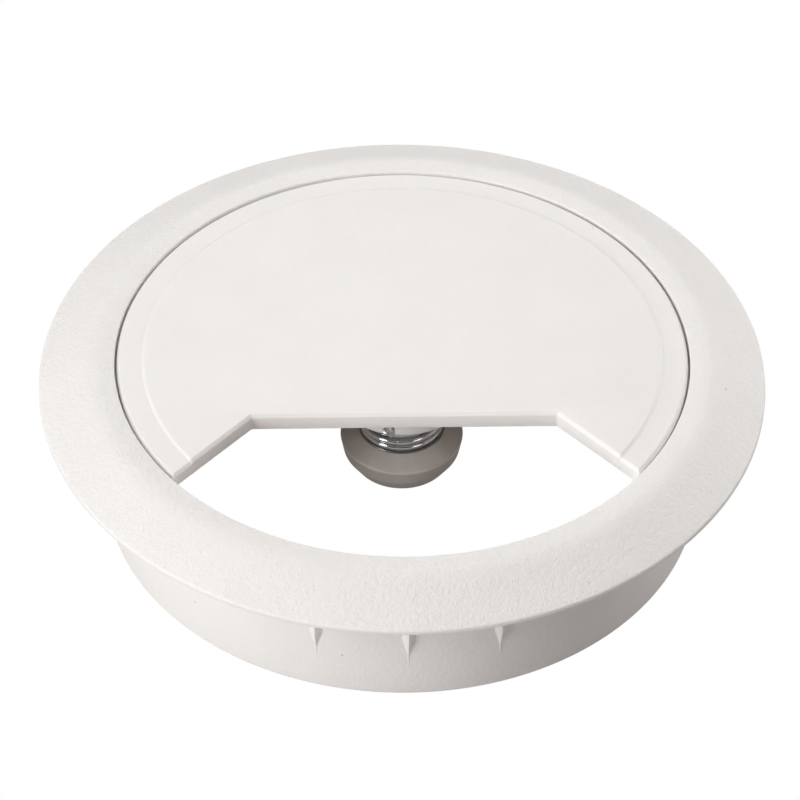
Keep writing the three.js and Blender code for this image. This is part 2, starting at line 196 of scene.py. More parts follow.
# Spring
WIRE_R = 0.375
WIRE_SIDES = 16
WIRE_SAMPLES_PER_TURN = 72
WIRE_BEND_STEPS = 8
COIL_R = 5.175
CONTACT_GAP = 0.02
CLOSED_PITCH = 0.8
COIL_START = radians(150)
COIL_TURNS = 5.28
TANG_ANGLE = radians(-100)
TANG_LEAN = radians(3.5)
TANG_R = 9.4
TANG_BEND = 0.9
LEG_LEAD = 0.6
LEG_START = 1.6
LEG_LEAD_ANGLE = radians(1)
BEND_MIDDLE = 0.2  # the bend's middle point, as a share of its radius
TANG_TOP_Z = SEAT_Z - 0.5

# Knob and fixings
WASHER_R = 5.5
WASHER_BORE_R = 3.2
WASHER_RECESS_R = WASHER_R + 0.12
KNOB_TOP_R = 5.8
KNOB_RIM_R = 8.15
KNOB_RIM_Z = SEAT_Z - 10
KNOB_FOOT_R = 6.3
RECESS_R = 3.6
RECESS_TOP_Z = SEAT_Z - 12.6
FIT_GAP = 0.06
KNOB_COLUMNS = 192
KNOB_SIDE_INSET = 0.42
KNOB_SIDE_DROP = 2.3
SCREW_R = 1.42
SCREW_TIP_R = 0.2
SCREW_TIP_LENGTH = 1.2
SCREW_HEAD_R = 2.5
SLOT_HALF_LENGTH = 1.3
SLOT_HALF_WIDTH = 0.25
SLOT_DEPTH = 0.8
SCREW_WASHER_R = 3.2


# ---- outlines ----


def rounded(corners, steps=4):
    """A closed outline from (x, y, radius) corners, with each corner rounded by its radius."""
    points = []
    count = len(corners)
    for i, (x, y, radius) in enumerate(corners):
        here = Vector((x, y))
        if radius <= 0:
            points.append(here)
            continue
        before = (Vector(corners[i - 1][:2]) - here).normalized()
        after = (Vector(corners[(i + 1) % count][:2]) - here).normalized()
        half = before.angle(after) / 2
        centre = here + (before + after).normalized() * (radius / sin(half))
        start = here + before * (radius / tan(half)) - centre
        end = here + after * (radius / tan(half)) - centre
        sweep = start.angle_signed(end)
        for step in range(steps + 1):
            spin = Matrix.Rotation(-sweep * step / steps, 2)
            points.append(centre + spin @ start)
    return [(p.x, p.y) for p in points]


def arc(centre, radius, start, end, steps):
    """Points round an arc, both ends included."""
    angles = [start + (end - start) * i / steps for i in range(steps + 1)]
    return [(centre[0] + radius * cos(a), centre[1] + radius * sin(a)) for a in angles]


def bezier(a, b, c, steps):
    """Points along a quadratic curve, both ends included."""
    points = []
    for i in range(steps + 1):
        t = i / steps
        weights = ((1 - t) ** 2, 2 * t * (1 - t), t * t)
        points.append(tuple(sum(w * p[k] for w, p in zip(weights, (a, b, c))) for k in (0, 1)))
    return points


# ---- meshes ----


def revolve(outline, angles):
    """A closed mesh from a closed (radius, height) outline that stays clear of the axis,
    or that starts and ends on it."""
    mesh = bmesh.new()
    on_axis = outline[0][0] < 1e-6 and outline[-1][0] < 1e-6
    rings = []
    for r, z in outline:
        if r < 1e-6:
            rings.append([mesh.verts.new((0, 0, z))])
        else:
            rings.append([mesh.verts.new((r * cos(a), r * sin(a), z)) for a in angles])
    pairs = list(zip(rings, rings[1:]))
    if not on_axis:
        pairs.append((rings[-1], rings[0]))
    for lower, upper in pairs:
        bridge(mesh, lower, upper)
    bmesh.ops.recalc_face_normals(mesh, faces=mesh.faces)
    return mesh


def bridge(mesh, first, second):
    """Faces between two rings of the same count, or between a ring and a single point."""
    count = max(len(first), len(second))
    for i in range(count):
        j = (i + 1) % count
        corners = []
        for ring, picks in ((first, (i, j)), (second, (j, i))):
            corners += [ring[0]] if len(ring) == 1 else [ring[k] for k in picks]
        mesh.faces.new(corners)


def even_angles(count):
    return [TURN * i / count for i in range(count)]


def box(x, y, z, edge=0.0):
    """A block between three (low, high) pairs, its edges rounded by edge."""
    mesh = bmesh.new()
    size = Matrix.Diagonal((x[1] - x[0], y[1] - y[0], z[1] - z[0], 1))
    place = Matrix.Translation(((x[0] + x[1]) / 2, (y[0] + y[1]) / 2, (z[0] + z[1]) / 2))
    bmesh.ops.create_cube(mesh, size=1, matrix=place @ size)
    if edge:
        bmesh.ops.bevel(mesh, geom=mesh.edges[:], offset=edge, segments=3, affect="EDGES")
    return mesh


def prism(corners, low_z, high_z):
    """A polygon in X and Y carried up from one height to another."""
    mesh = bmesh.new()
    lower = [mesh.verts.new((x, y, low_z)) for x, y in corners]
    upper = [mesh.verts.new((x, y, high_z)) for x, y in corners]
    bridge(mesh, lower, upper)
    mesh.faces.new(lower)
    mesh.faces.new(upper)
    bmesh.ops.recalc_face_normals(mesh, faces=mesh.faces)
    return mesh


def spin(mesh, angle):
    """Turns a mesh about the pivot axis."""
    bmesh.ops.rotate(mesh, verts=mesh.verts, matrix=Matrix.Rotation(angle, 3, "Z"))
    return mesh


def as_object(name, mesh):
    """A Blender object, in metres, from a mesh in millimetres."""
    bmesh.ops.scale(mesh, vec=(MM, MM, MM), verts=mesh.verts)
    data = bpy.data.meshes.new(name)
    mesh.to_mesh(data)
    mesh.free()
    made = bpy.data.objects.new(name, data)
    bpy.context.scene.collection.objects.link(made)
    return made


def combine(target, mesh, operation):
    """Adds a mesh to an object, or cuts it away, and keeps the result."""
    tool = as_object("tool", mesh)
    change = target.modifiers.new("change", "BOOLEAN")
    change.operation = operation
    change.solver = "EXACT"
    change.object = tool
    graph = bpy.context.evaluated_depsgraph_get()
    result = bpy.data.meshes.new_from_object(target.evaluated_get(graph))
    target.modifiers.clear()
    spent = target.data
    target.data = result
    bpy.data.meshes.remove(spent)
    tool_data = tool.data
    bpy.data.objects.remove(tool)
    bpy.data.meshes.remove(tool_data)


def finish_piece(piece, body, node, material, sharp_degrees=32):
    """Shading, material and the piece's place in the frame."""
    data = piece.data
    mesh = bmesh.new()
    mesh.from_mesh(data)
    bmesh.ops.dissolve_degenerate(mesh, dist=SMALLEST_EDGE, edges=mesh.edges)
    mesh.to_mesh(data)
    mesh.free()
    data.materials.clear()
    data.materials.append(material)
    data.shade_smooth()
    data.set_sharp_from_angle(angle=radians(sharp_degrees))
    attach(piece, body)
    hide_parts(node)
    return piece


# ---- materials ----


class Nodes:
    """A short way to write a material's node tree."""

    def __init__(self, name):
        self.material = bpy.data.materials.new(name)
        self.material.use_nodes = True
        self.tree = self.material.node_tree
        self.shader = self.tree.nodes["Principled BSDF"]

    def add(self, kind, **values):
        node = self.tree.nodes.new("ShaderNode" + kind)
        for key, value in values.items():
            if key in node.inputs:
                node.inputs[key].default_value = value
            else:
                setattr(node, key, value)
        return node

    def link(self, start, end):
        self.tree.links.new(start, end)

    def coordinates(self):
        return self.add("TexCoord").outputs["Object"]

    def noise(self, where, scale, detail=3.0, rough=0.5):
        node = self.add("TexNoise", Scale=scale, Detail=detail, Roughness=rough)
        self.link(where, node.inputs["Vector"])
        return node.outputs["Fac"]

    def ramp(self, value, stops):
        node = self.add("ValToRGB")
        elements = node.color_ramp.elements
        while len(elements) < len(stops):
            elements.new(0.5)
        for element, (place, colour) in zip(elements, stops):
            element.position = place
            element.color = (*colour, 1)
        self.link(value, node.inputs["Fac"])
        return node.outputs["Color"]

    def spread(self, value, low_value, high_value):
        """Maps a 0..1 value to a range."""
        node = self.add("MapRange")
        node.inputs["To Min"].default_value = low_value
        node.inputs["To Max"].default_value = high_value
        self.link(value, node.inputs["Value"])
        return node.outputs["Result"]

    def bump(self, height, strength, distance, below=None, share=None):
        node = self.add("Bump", Strength=strength, Distance=distance)
        if share:
            self.link(share, node.inputs["Strength"])
        self.link(height, node.inputs["Height"])
        if below:
            self.link(below, node.inputs["Normal"])
        return node.outputs["Normal"]


WHITE = (0.865, 0.84, 0.815)
WHITE_DEEP = (0.845, 0.819, 0.794)
SPECK = (0.55, 0.53, 0.50)
SPECK_SHARE = 0.2  # of the cells that could hold one
SPECK_CELLS = 260.0  # cells per metre
SPECK_SIZE = (0.03, 0.045)  # its full and faded edge, as a share of a cell
GRAIN_SCALE = 3300.0  # per metre
FLANGE_GRAIN = 0.00011  # metres
COVER_GRAIN = 0.00003
FLANGE_SIDE_GRAIN = 0.3  # what is left of the grain on upright faces
COVER_SIDE_GRAIN = 1.5
GRAIN_TILT = (0.3, 0.7)  # a face is upright below the first slope and level above the second
GREY = (0.575, 0.53, 0.49)
GREY_DEEP = (0.505, 0.462, 0.425)
# colour and strength of the highlight painted on the knob's rim rounding
GREY_RIM_HIGHLIGHT = (0.86, 0.78, 0.7)
RIM_HIGHLIGHT_STRENGTH = 0.45  # how strongly the painted highlight lightens the knob's rim
CHROME = (0.82, 0.83, 0.845)
ZINC = (0.58, 0.59, 0.6)
ZINC_DEEP = (0.46, 0.47, 0.48)


def white_plastic(name, grain_depth, side_grain):
    """Moulded ABS with a fine spark-eroded grain, faint mottling and rare dark specks.

    side_grain is the share of the grain that is left on upright faces."""
    n = Nodes(name)
    where = n.coordinates()
    mottle = n.noise(where, 90.0, 4.0, 0.6)
    tone = n.ramp(mottle, ((0.3, WHITE_DEEP), (0.62, WHITE)))
    cells = n.add("TexVoronoi", Scale=SPECK_CELLS)
    n.link(where, cells.inputs["Vector"])
    near, far = SPECK_SIZE
    specks = n.ramp(cells.outputs["Distance"], ((near, (1, 1, 1)), (far, (0, 0, 0))))
    chance = n.add("SeparateColor")
    n.link(cells.outputs["Color"], chance.inputs["Color"])
    cut = 1 - SPECK_SHARE
    rare = n.ramp(chance.outputs["Red"], ((cut - 0.01, (0, 0, 0)), (cut, (1, 1, 1))))
    both = n.add("MixRGB", blend_type="MULTIPLY", Fac=1.0)
    n.link(specks, both.inputs["Color1"])
    n.link(rare, both.inputs["Color2"])
    colour = n.add("MixRGB", Color2=(*SPECK, 1))
    n.link(both.outputs["Color"], colour.inputs["Fac"])
    n.link(tone, colour.inputs["Color1"])
    n.link(colour.outputs["Color"], n.shader.inputs["Base Color"])
    fine = n.noise(where, GRAIN_SCALE, 2.0, 0.6)
    broad = n.noise(where, GRAIN_SCALE / 2.2, 2.0, 0.5)
    n.link(n.spread(fine, 0.42, 0.6), n.shader.inputs["Roughness"])
    tilt = n.add("SeparateXYZ")
    n.link(n.add("NewGeometry").outputs["Normal"], tilt.inputs[0])
    share = n.add("MapRange", clamp=True)
    share.inputs["From Min"].default_value, share.inputs["From Max"].default_value = GRAIN_TILT
    share.inputs["To Min"].default_value = side_grain
    n.link(tilt.outputs["Z"], share.inputs["Value"])
    lower = n.bump(broad, 0.5, grain_depth, share=share.outputs["Result"])
    fine_bump = n.bump(fine, 1.0, grain_depth, lower, share.outputs["Result"])
    n.link(fine_bump, n.shader.inputs["Normal"])
    n.shader.inputs["IOR"].default_value = 1.5
    n.shader.inputs["Subsurface Weight"].default_value = 0.3
    n.shader.inputs["Subsurface Radius"].default_value = (1.0, 0.93, 0.86)
    n.shader.inputs["Subsurface Scale"].default_value = 0.0012
    return n.material


def grey_plastic():
    """Satin grey moulding with cloudy handling marks and a painted highlight: a light band round
    the rounding of the knob's rim.
    """
    n = Nodes("grey_plastic")
    where = n.coordinates()
    cloud = n.noise(where, 240.0, 4.0, 0.6)
    flat = n.add("VectorMath", operation="MULTIPLY")
    flat.inputs[1].default_value = (1, 1, 0)
    n.link(where, flat.inputs[0])
    radius = n.add("VectorMath", operation="LENGTH")
    n.link(flat.outputs["Vector"], radius.inputs[0])
    # painted highlight: a light band on the knob's rim rounding, standing in for the shine of a
    # glossy edge
    rim = n.add("MapRange", clamp=True)
    rim.inputs["From Min"].default_value = (KNOB_RIM_R - 0.1) * MM
    rim.inputs["From Max"].default_value = (KNOB_RIM_R - 0.05) * MM
    rim.inputs["To Max"].default_value = RIM_HIGHLIGHT_STRENGTH
    n.link(radius.outputs["Value"], rim.inputs["Value"])
    painted_rim_highlight = n.add("MixRGB", Color2=(*GREY_RIM_HIGHLIGHT, 1))
    n.link(rim.outputs["Result"], painted_rim_highlight.inputs["Fac"])
    n.link(n.ramp(cloud, ((0.32, GREY_DEEP), (0.66, GREY))), painted_rim_highlight.inputs["Color1"])
    n.link(painted_rim_highlight.outputs["Color"], n.shader.inputs["Base Color"])
    fine = n.noise(where, 3000.0, 2.0)
    n.link(n.spread(cloud, 0.36, 0.52), n.shader.inputs["Roughness"])
    n.link(n.bump(fine, 0.25, 0.00005), n.shader.inputs["Normal"])
    return n.material


def chromed_wire():
    """Bright chrome with faint drawing marks along the wire."""
    n = Nodes("chromed_wire")
    where = n.coordinates()
    n.shader.inputs["Metallic"].default_value = 1
    cloud = n.noise(where, 700.0, 3.0)
    darker = tuple(0.86 * c for c in CHROME)
    n.link(n.ramp(cloud, ((0.35, darker), (0.6, CHROME))), n.shader.inputs["Base Color"])
    n.link(n.spread(cloud, 0.04, 0.14), n.shader.inputs["Roughness"])
    n.link(n.bump(n.noise(where, 5000.0, 2.0), 0.1, 0.00002), n.shader.inputs["Normal"])
    return n.material


def zinc_steel():
    """Zinc-plated steel with a cloudy, slightly rough surface."""
    n = Nodes("zinc_steel")
    where = n.coordinates()
    n.shader.inputs["Metallic"].default_value = 1
    cloud = n.noise(where, 500.0, 5.0, 0.65)
    n.link(n.ramp(cloud, ((0.35, ZINC_DEEP), (0.65, ZINC))), n.shader.inputs["Base Color"])
    n.link(n.spread(cloud, 0.24, 0.42), n.shader.inputs["Roughness"])
    n.link(n.bump(n.noise(where, 2600.0, 3.0), 0.15, 0.00004), n.shader.inputs["Normal"])
    return n.material


# ---- liner ----


def liner_outline():
    """The flange and sleeve in section, with the sleeve's outer wall split into fine rows."""
    inner = rounded(
        (
            (MOUTH_R, BORDER_Z, MOUTH_EDGE),
            (MOUTH_R, LEDGE_TOP_Z, 0.1),
            (LEDGE_R, LEDGE_TOP_Z, LEDGE_ROUND),
            (LEDGE_R, LEDGE_BOTTOM_Z, LEDGE_ROUND),
            (SLEEVE_BORE_R, LEDGE_BOTTOM_Z, 0.25),
            (SLEEVE_BORE_R, 0, SLEEVE_FOOT_ROUND),
            (SLEEVE_R, 0, SLEEVE_FOOT_ROUND),
            (SLEEVE_R, RIB_POINT_Z, 0),
            (CROWN_R, BORDER_Z, 0),
        )
    )[:-2]
    root = [(SLEEVE_R, FLANGE_ROOT_Z), (LAND_R, SEAT_Z)]
    return inner + wall_rows() + root + flange_top()


def flange_top():
    """The lip, the sloping face and the crown that rolls over to the flat top."""
    slope = atan(SLOPE)
    under_centre = (FLANGE_R - LIP_UNDER_ROUND, SEAT_Z + LIP_UNDER_ROUND)
    lip = arc(under_centre, LIP_UNDER_ROUND, -pi / 2, 0, 4)
    lip += arc((FLANGE_R - LIP_TOP_ROUND, LIP_TOP_Z), LIP_TOP_ROUND, 0, pi / 2 - slope, 10)
    edge_r, edge_z = lip[-1]
    slope_z = edge_z + SLOPE * (edge_r - SLOPE_START_R)
    crest_r = edge_r - (BORDER_Z - edge_z) / SLOPE
    face = [
        (edge_r + (SLOPE_START_R - edge_r) * t, edge_z + (slope_z - edge_z) * t)
        for t in (0.25, 0.5, 0.75)
    ]
    crown = bezier((SLOPE_START_R, slope_z), (crest_r, BORDER_Z), (CROWN_R, BORDER_Z), 12)
    return lip + face + crown


def wall_rows():
    """Rows up the sleeve's outer wall, close together where the crush ribs taper."""
    height = RIB_ROWS_TOP_Z - RIB_POINT_Z
    rows = [RIB_POINT_Z + height * i / RIB_ROWS for i in range(RIB_ROWS + 1)]
    rows += [RIB_PLAIN_Z, SEAT_Z, RIB_TOP_Z, RIB_TOP_Z + RIB_END_STEP]
    return [(SLEEVE_R, z) for z in rows]


def rib_angles():
    places = [g * TURN / RIB_GROUPS + s * RIB_STEP for g in range(RIB_GROUPS) for s in (-1, 0, 1)]
    return [place % TURN for place in places]


def liner_columns():
    """Angles round the liner, close together across each crush rib."""
    half = RIB_SPAN / SLEEVE_R
    columns = []
    for angle in even_angles(COLUMNS):
        if all(abs(apart(angle, rib)) > half * RIB_COLUMN_MARGIN for rib in rib_angles()):
            columns.append(angle)
    for rib in rib_angles():
        columns += [(rib + half * (2 * i / RIB_COLUMNS - 1)) % TURN for i in range(RIB_COLUMNS + 1)]
    return sorted(columns)


def apart(a, b):
    """The signed angle between two directions."""
    return (a - b + pi) % TURN - pi


def rib_rise(offset, z):
    """How far a crush rib stands out at a distance from its centre line."""
    best = 0
    for height, half_width, taper_z, point_z in RIB_FORMS:
        full = min(1, max(0, (z - point_z) / (taper_z - point_z)))
        if offset < half_width * full:
            best = max(best, height * full * (1 - (offset / (half_width * full)) ** RIDGE_POWER))
    return best


def raise_ribs(mesh):
    """Pushes the outer wall out into the crush ribs."""
    ribs = rib_angles()
    for vert in mesh.verts:
        x, y, z = vert.co
        r = hypot(x, y)
        if abs(r - SLEEVE_R) > 1e-4 or not RIB_POINT_Z <= z <= RIB_TOP_Z + 1e-4:
            continue
        angle = atan2(y, x)
        offset = min(abs(apart(angle, rib)) for rib in ribs) * SLEEVE_R
        rise = rib_rise(offset, z)
        vert.co.x = (r + rise) * cos(angle)
        vert.co.y = (r + rise) * sin(angle)


def add_pocket(liner, angle):
    """Guide ribs and a snap catch for one end of the crossbar."""
    inner = BAR_HALF_WIDTH + GUIDE_GAP
    outer = inner + GUIDE_THICKNESS
    reach = (GUIDE_R, SLEEVE_BORE_R + WALL_BITE)
    height = (GUIDE_BOTTOM_Z, LEDGE_BOTTOM_Z + WALL_BITE)
    for side in ((inner, outer), (-outer, -inner)):
        combine(liner, spin(box(reach, side, height, GUIDE_EDGE), angle), "UNION")
    wedge = bmesh.new()
    section = (
        (SLEEVE_BORE_R + WALL_BITE, CATCH_TOP_Z),
        (CATCH_R, CATCH_TOP_Z),
        (CATCH_R, CATCH_TOP_Z - WALL_BITE),
        (SLEEVE_BORE_R + WALL_BITE, CATCH_TOP_Z - CATCH_HEIGHT),
    )
    ends = [
        [wedge.verts.new((r, y, z)) for r, z in section]
        for y in (-CATCH_HALF_WIDTH, CATCH_HALF_WIDTH)
    ]
    bridge(wedge, *ends)
    wedge.faces.new(ends[0])
    wedge.faces.new(ends[1])
    bmesh.ops.recalc_face_normals(wedge, faces=wedge.faces)
    combine(liner, spin(wedge, angle), "UNION")


def make_liner(material):
    mesh = revolve(liner_outline(), liner_columns())
    raise_ribs(mesh)
    liner = as_object("liner_shell", mesh)
    for angle in (0, pi):
        add_pocket(liner, angle)
    return finish_piece(liner, "liner", "liner_ring", material, 24)


# ---- crossbar ----


def make_crossbar(material):
    hub = rounded(
        (
            (HUB_BORE_R, BAR_TOP_Z, 0.15),
            (HUB_BORE_R, COLLAR_BOTTOM_Z, 0.2),
            (COLLAR_R, COLLAR_BOTTOM_Z, 0.2),
            (COLLAR_R, HUB_BOTTOM_Z, 0.1),
            (HUB_R, HUB_BOTTOM_Z, 0.25),
            (HUB_R, BAR_TOP_Z, 0.25),
        )
    )
    bar = as_object("crossbar_body", revolve(hub, even_angles(MEDIUM_COLUMNS)))
    core_half = BAR_HALF_WIDTH - BAR_WALL
    for angle in (0, pi):
        arm = box(
            (BAR_START_X, BAR_END_R - BAR_END_SETBACK),
            (-BAR_HALF_WIDTH, BAR_HALF_WIDTH),
            (BAR_BOTTOM_Z, BAR_TOP_Z - BAR_TOP_SETBACK),
            BAR_EDGE,
        )
        core_height = (BAR_BOTTOM_Z - CUT_OVERSHOOT, BAR_TOP_Z - BAR_WEB)
        core = box(CORE_X, (-core_half, core_half), core_height, CORE_EDGE)
        combine(bar, spin(arm, angle), "UNION")
        combine(bar, spin(core, angle), "DIFFERENCE")
    notch = box(
        (NOTCH_R, HUB_R + CUT_OVERSHOOT),
        (-NOTCH_HALF_WIDTH, NOTCH_HALF_WIDTH),
        (HUB_BOTTOM_Z - CUT_OVERSHOOT, BAR_TOP_Z + CUT_OVERSHOOT),
    )
    combine(bar, spin(notch, TANG_ANGLE - TANG_LEAN / 2), "DIFFERENCE")
    return finish_piece(bar, "liner", "crossbar", material)


# ---- cover ----


def cut_half_width(y, inset):
    """Half the cut-out's width at y, measured on edges moved back into the cover by inset."""
    lean = (CUT_FRONT_HALF - CUT_BACK_HALF) / (CUT_BACK_Y - CUT_FRONT_Y)
    return CUT_BACK_HALF + lean * (CUT_BACK_Y - y) + inset * hypot(1, lean)


def cut_crossing(radius, inset):
    """Where the right slanted edge meets a circle about the pivot."""
    lean = (CUT_FRONT_HALF - CUT_BACK_HALF) / (CUT_BACK_Y - CUT_FRONT_Y)
    reach = cut_half_width(0, inset)
    # x = reach - lean * y on the edge, and x^2 + y^2 = radius^2
    a = 1 + lean * lean
    b = -2 * reach * lean
    c = reach * reach - radius * radius
    y = (-b - sqrt(b * b - 4 * a * c)) / (2 * a)
    return reach - lean * y, y


def cut_edge(radii, inset):
    """The cut-out's edge from right to left, with a point at each radius on both slants."""
    right = [cut_crossing(radius, inset) for radius in radii]
    back_y = CUT_BACK_Y + inset
    half = cut_half_width(back_y, inset)
    far = right[-1]
    corner = rounded(((*far, 0), (half, back_y, CUT_CORNER_R), (0, back_y, 0)), 4)[1:-1]
    left = [(-x, y) for x, y in reversed(right + corner)]
    return right + corner + left


def cover_height(x, y):
    """Height of the cover's top face at a point: a soft step up to the raised centre."""
    rise = min(1, max(0, (RAISED_R - hypot(x, y)) / RAISED_SLOPE))
    return BORDER_Z + RAISED_STEP * rise * rise * (3 - 2 * rise)


def rim_arc(radius, inset, count):
    """Points on a circle, counter-clockwise from the right slanted edge to the left one."""
    x, y = cut_crossing(radius, inset)
    start = atan2(y, x)
    sweep = pi - 2 * start
    return [
        (radius * cos(start + sweep * i / count), radius * sin(start + sweep * i / count))
        for i in range(count + 1)
    ]


def cover_loop(radius, inset, count, radii):
    """The cover's whole outline: the round rim, then the cut-out's edge back to the start."""
    edge = cut_edge([radius, *radii], inset)
    return rim_arc(radius, inset, count) + edge[::-1][1:-1]


def chamfer_profile():
    """The chamfer of the cover's top edges as (inset, drop) pairs, from the side to the top."""
    depth = COVER_CHAMFER
    soft = COVER_SOFT_EDGE
    corners = ((0, 2 * depth, 0), (0, depth, soft), (depth, 0, soft), (2 * depth, 0, 0))
    return rounded(corners, 3)[1:-1]


def cover_plate_mesh():
    """The plate: its outline carried up in rings, with both edges rounded, then the top face."""
    count = COVER_COLUMNS
    radii = [RAISED_R - RAISED_SLOPE * i / RAISED_ROWS for i in range(RAISED_ROWS + 1)]
    mesh = bmesh.new()

    def ring(inset, height):
        points = cover_loop(COVER_R - inset, inset, count, radii)
        return [mesh.verts.new((x, y, height(x, y))) for x, y in points]

    rings = []
    for degrees in (0, 30, 60, 90):
        inset = COVER_LOWER_EDGE * (1 - sin(radians(degrees)))
        z = COVER_BOTTOM_Z + COVER_LOWER_EDGE * (1 - cos(radians(degrees)))
        rings.append(ring(inset, lambda x, y: z))
    for inset, drop in chamfer_profile():
        rings.append(ring(inset, lambda x, y: cover_height(x, y) - drop))
    for lower, upper in zip(rings, rings[1:]):
        bridge(mesh, lower, upper)
    mesh.faces.new(rings[0])
    close_cover_top(mesh, rings[-1], count, radii)
    bmesh.ops.remove_doubles(mesh, verts=mesh.verts, dist=1e-4)
    bmesh.ops.recalc_face_normals(mesh, faces=mesh.faces)
    return mesh


def close_cover_top(mesh, rim, count, radii):
    """The flat border, the small step and the raised centre, inside the last rim ring."""
    strips = [rim[: count + 1]]
    inset = chamfer_profile()[-1][0]
    for radius in radii:
        points = rim_arc(radius, inset, count)
        strips.append([mesh.verts.new((x, y, cover_height(x, y))) for x, y in points])
    for outer, inner in zip(strips, strips[1:]):
        for i in range(count):
            mesh.faces.new((outer[i], outer[i + 1], inner[i + 1], inner[i]))
    steps = len(radii)
    edge = rim[count + 1 + steps : len(rim) - steps]
    mesh.faces.new(strips[-1] + edge)


def rib_steps():
    """The stiffening ribs under the cover, as (mesh, operation) steps on a ring."""
    half = COVER_RIB_HALF
    height = (COVER_RIB_Z, COVER_BOTTOM_Z + ROOT_BITE)
    for degrees in COVER_RIB_ANGLES:
        rib = box((POST_R, COVER_RIB_R[0] + half), (-half, half), height)
        yield spin(rib, radians(degrees)), "UNION"
    back = CUT_BACK_Y + RIB_CLEARANCE
    front = -COVER_R - CUT_OVERSHOOT
    clear = (
        (-cut_half_width(front, RIB_CLEARANCE), front),
        (cut_half_width(front, RIB_CLEARANCE), front),
        (cut_half_width(back, RIB_CLEARANCE), back),
        (-cut_half_width(back, RIB_CLEARANCE), back),
    )
    bounds = (COVER_RIB_Z - CUT_OVERSHOOT, COVER_BOTTOM_Z + CUT_OVERSHOOT)
    yield prism(clear, *bounds), "DIFFERENCE"


def make_cover(material):
    cover = as_object("cover_body", cover_plate_mesh())
    inner, outer = COVER_RIB_R
    root_z = COVER_BOTTOM_Z + ROOT_BITE
    ring = rounded(
        (
            (inner, root_z, 0),
            (inner, COVER_RIB_Z, 0.15),
            (outer, COVER_RIB_Z, 0.15),
            (outer, root_z, 0),
        )
    )
    ribs = as_object("ribs", revolve(ring, even_angles(COVER_RIB_COLUMNS)))
    for mesh, operation in rib_steps():
        combine(ribs, mesh, operation)
    rib_mesh = bmesh.new()
    rib_mesh.from_mesh(ribs.data)
    bmesh.ops.scale(rib_mesh, vec=(1 / MM, 1 / MM, 1 / MM), verts=rib_mesh.verts)
    bpy.data.objects.remove(ribs)
    combine(cover, rib_mesh, "UNION")
    post = rounded(
        (
            (0, root_z, 0),
            (BOSS_R, root_z, 0),
            (BOSS_R, BOSS_BOTTOM_Z, 0.25),
            (POST_R, BOSS_BOTTOM_Z, 0.1),
            (POST_R, POST_BOTTOM_Z, 0.25),
            (PILOT_R, POST_BOTTOM_Z, 0.1),
            (PILOT_R, PILOT_TOP_Z, 0.1),
            (0, PILOT_TOP_Z, 0),
        )
    )
    combine(cover, revolve(post, even_angles(SMALL_COLUMNS)), "UNION")
    return finish_piece(cover, "cover", "cover_plate", material, 40)


# ---- spring ----


def coil_height(turn):
    """Height of the wire's centre after a number of turns, closed at each end."""
    bottom = WASHER_TOP_Z + CONTACT_GAP + WIRE_R
    upper = HUB_BOTTOM_Z - CONTACT_GAP - WIRE_R
    open_turns = COIL_TURNS - 2
    open_pitch = (upper - bottom - 2 * CLOSED_PITCH) / open_turns
    closed = min(turn, 1) + max(turn - 1 - open_turns, 0)
    opened = min(max(turn - 1, 0), open_turns)
    return bottom + closed * CLOSED_PITCH + opened * open_pitch


def spring_path():
    """The wire's centre line: the coil, a leg out under the hub, and a tang up its side."""
    samples = round(COIL_TURNS * WIRE_SAMPLES_PER_TURN)
    places = []
    for i in range(samples + 1):
        turn = COIL_TURNS * i / samples
        places.append(polar(COIL_R, COIL_START + turn * TURN, coil_height(turn)))
    z = HUB_BOTTOM_Z - CONTACT_GAP - WIRE_R
    knots = (
        places[-1],
        polar(COIL_R + LEG_LEAD, TANG_ANGLE - LEG_LEAD_ANGLE, z),
        polar(COIL_R + LEG_START, TANG_ANGLE, z),
        polar(TANG_R - TANG_BEND, TANG_ANGLE, z),
        polar(TANG_R - TANG_BEND * BEND_MIDDLE, TANG_ANGLE, z + TANG_BEND * BEND_MIDDLE),
        polar(TANG_R, TANG_ANGLE, z + TANG_BEND),
        polar(TANG_R, TANG_ANGLE - TANG_LEAN, TANG_TOP_Z),
    )
    return places + smooth_through((places[-2], *knots, 2 * knots[-1] - knots[-2]), WIRE_BEND_STEPS)


def polar(r, angle, z):
    return Vector((r * cos(angle), r * sin(angle), z))


def smooth_through(knots, steps):
    """Points on a Catmull-Rom curve from the second knot to the last but one."""
    points = []
    for a, b, c, d in zip(knots, knots[1:], knots[2:], knots[3:]):
        for i in range(1, steps + 1):
            t = i / steps
            points.append(
                0.5
                * (
                    2 * b
                    + (c - a) * t
                    + (2 * a - 5 * b + 4 * c - d) * t * t
                    + (3 * b - 3 * c + d - a) * t**3
                )
            )
    return points


def sweep_wire(path, radius, sides):
    """A round wire with domed ends along a path."""
    mesh = bmesh.new()
    side = None
    rings = []
    for i, place in enumerate(path):
        ahead = (path[min(i + 1, len(path) - 1)] - path[max(i - 1, 0)]).normalized()
        side = side or Vector((0, 0, 1)).cross(ahead)
        side = (side - ahead * side.dot(ahead)).normalized()
        up = ahead.cross(side)
        rings.append(
            [
                mesh.verts.new(place + radius * (cos(a) * side + sin(a) * up))
                for a in even_angles(sides)
            ]
        )
    for first, second in zip(rings, rings[1:]):
        bridge(mesh, first, second)
    for end in (rings[0], rings[-1]):
        face = mesh.faces.new(end)
        bmesh.ops.inset_region(mesh, faces=[face], thickness=radius * 0.25, depth=radius * 0.15)
    bmesh.ops.recalc_face_normals(mesh, faces=mesh.faces)
    return mesh


def make_spring(material):
    wire = as_object("spring_wire", sweep_wire(spring_path(), WIRE_R, WIRE_SIDES))
    finish_piece(wire, "liner", "spring", material, 50)
    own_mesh(wire)
    return wire


# ---- washer, knob, screw ----


